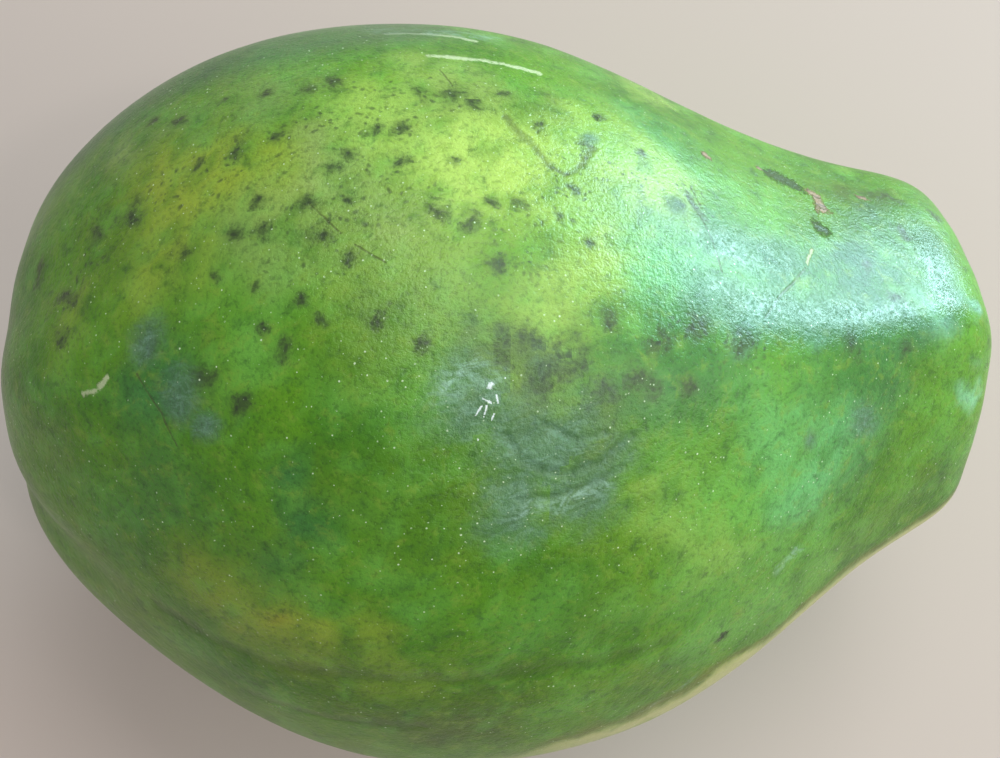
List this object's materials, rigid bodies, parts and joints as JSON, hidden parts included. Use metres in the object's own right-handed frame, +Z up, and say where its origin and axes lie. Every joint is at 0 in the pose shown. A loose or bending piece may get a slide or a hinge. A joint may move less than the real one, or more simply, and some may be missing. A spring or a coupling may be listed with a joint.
{
  "type": "papaya",
  "caption": "Whole papaya lying on its side: broad rounded blossom end, blunt narrow neck with a stalk scar, lobed green skin turning yellow, resting on a small flat spot.",
  "frame": {"origin": "centre of the fruit's bounding box at its lowest face, the flat rest spot", "axes": "+X from the blossom end to the stem end, along the fruit; +Z up from the surface it lies on; -Y towards the side that ridge one leans to"},
  "size_m": [0.1906, 0.1434, 0.1428],
  "materials": {
    "skin": "waxy mottled green skin with yellow patches and fine dark freckles"
  },
  "bodies": {
    "root": {"papaya": "skin"}
  },
  "joints": []
}
